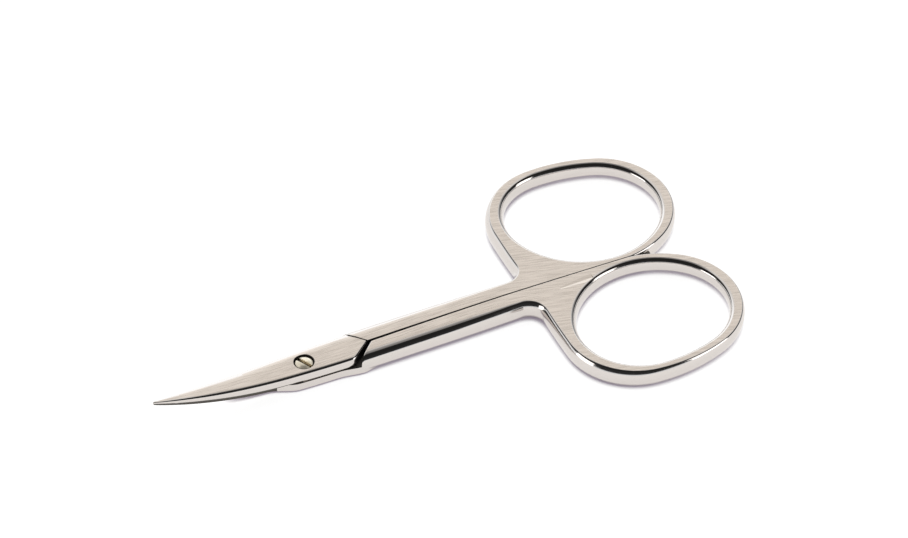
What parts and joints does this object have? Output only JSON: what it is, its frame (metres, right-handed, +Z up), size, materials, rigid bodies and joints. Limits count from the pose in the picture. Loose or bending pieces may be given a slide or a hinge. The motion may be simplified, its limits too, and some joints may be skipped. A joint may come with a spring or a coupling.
{
  "type": "cuticle scissors",
  "caption": "Small steel cuticle scissors with blades that curve up to fine tips, flat brushed shanks, oval finger rings and a slotted pivot screw.",
  "frame": {"origin": "middle of the overall length and width, on the plane of the shanks' lower ground faces, on which the scissors lie", "axes": "+X from the tips towards the finger rings, +Y towards the upper half's ring, +Z up along the pivot screw towards its head"},
  "size_m": [0.09, 0.048, 0.0055],
  "materials": {
    "steel": "brushed flat faces, polished rounded sides",
    "screw_steel": "turned, slightly warm in tone"
  },
  "bodies": {
    "lower": {"lower_half": "steel", "pivot_screw": "screw_steel"},
    "upper": {"upper_half": "steel"}
  },
  "joints": [
    {"name": "blade_pivot", "type": "hinge", "parent": "lower", "child": "upper", "pos_m": [-0.021, 0, 0.00175], "axis": [0, 0, 1], "range_deg": [0, 80]}
  ]
}
